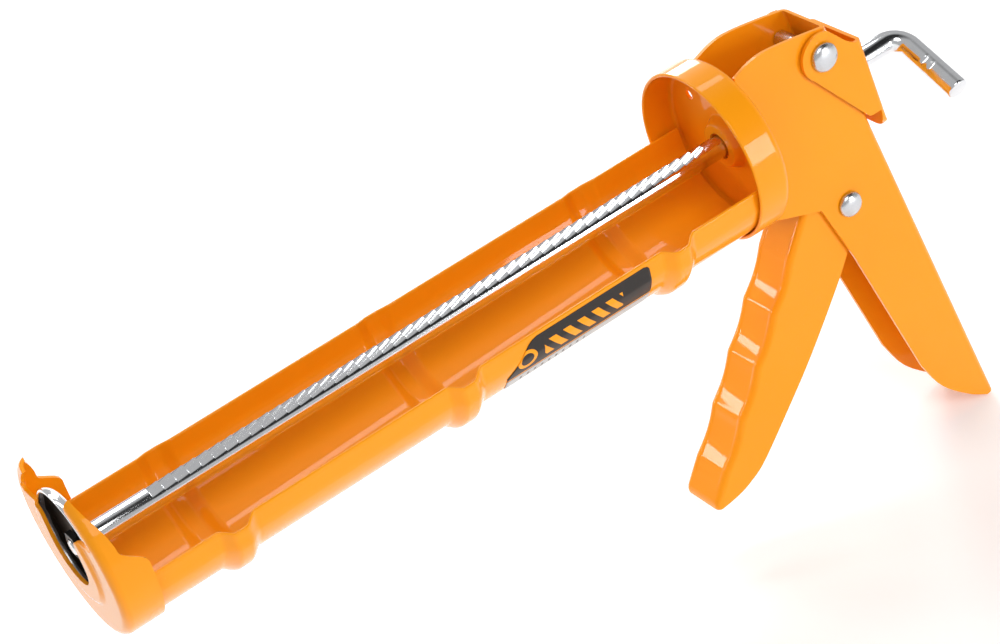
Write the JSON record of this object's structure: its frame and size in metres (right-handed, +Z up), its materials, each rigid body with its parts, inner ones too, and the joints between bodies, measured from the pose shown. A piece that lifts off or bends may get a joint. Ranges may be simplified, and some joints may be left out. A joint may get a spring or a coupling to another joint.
{
  "type": "caulking gun",
  "caption": "Half-barrel caulking gun of folded and pressed sheet steel with a toothed push rod, squeeze trigger and thumb release.",
  "frame": {"origin": "bottom centre of the bounding box, with the rod level and the handle down", "axes": "+X along the rod towards the nozzle end, +Y to the gun's left side, +Z up"},
  "size_m": [0.2978, 0.0552, 0.1603],
  "materials": {
    "orange_powder_coat": "glossy powder coat",
    "bright_rod_plating": "bright plated",
    "zinc_plating": "zinc plated",
    "dark_steel": "hardened, dark",
    "spring_wire": "drawn wire",
    "sticker": "printed film"
  },
  "bodies": {
    "frame": {"cradle": "orange_powder_coat", "front_cap": "orange_powder_coat", "rear_cup": "orange_powder_coat", "handle_frame": "orange_powder_coat", "label_sticker": "sticker", "lever_pivot_rivet": "zinc_plating", "lever_spacer": "zinc_plating", "trigger_pivot_rivet": "zinc_plating", "release_spring": "spring_wire", "trigger_return_spring": "spring_wire"},
    "trigger": {"trigger": "orange_powder_coat", "trigger_bush": "zinc_plating", "drive_pawl_pin": "dark_steel", "drive_pawl_spring": "spring_wire"},
    "pawl": {"drive_pawl": "dark_steel"},
    "lever": {"release_lever": "orange_powder_coat"},
    "plunger": {"plunger_plate": "bright_rod_plating", "plunger_washer": "zinc_plating"},
    "rod": {"toothed_rod": "bright_rod_plating", "plunger_nut": "zinc_plating"}
  },
  "joints": [
    {"name": "trigger_squeeze", "type": "hinge", "parent": "frame", "child": "trigger", "pos_m": [-0.10832, 0, 0.0966], "axis": [0, 1, 0], "range_deg": [0, 30], "stiffness_Nm_per_rad": 0.5, "springref_deg": -20.05, "deforming": ["trigger_return_spring"]},
    {"name": "pawl_pivot", "type": "hinge", "parent": "trigger", "child": "pawl", "pos_m": [-0.11302, 0, 0.115], "axis": [0, 1, 0], "range_deg": [-30, 0], "deforming": ["drive_pawl_spring"]},
    {"name": "release_press", "type": "hinge", "parent": "frame", "child": "lever", "pos_m": [-0.11012, 0, 0.1484], "axis": [0, 1, 0], "range_deg": [-5, 0], "stiffness_Nm_per_rad": 0.3, "springref_deg": 17.19, "deforming": ["release_spring"]},
    {"name": "rod_slide", "type": "slide", "parent": "frame", "child": "plunger", "axis": [1, 0, 0], "range_m": [-0.215, 0]},
    {"name": "rod_turn", "type": "hinge", "parent": "plunger", "child": "rod", "pos_m": [0.02238, 0, 0.1328], "axis": [1, 0, 0], "continuous": true}
  ],
  "couplings": [
    {"joint": "pawl_pivot", "follows": "trigger_squeeze", "ratio": -1}
  ]
}
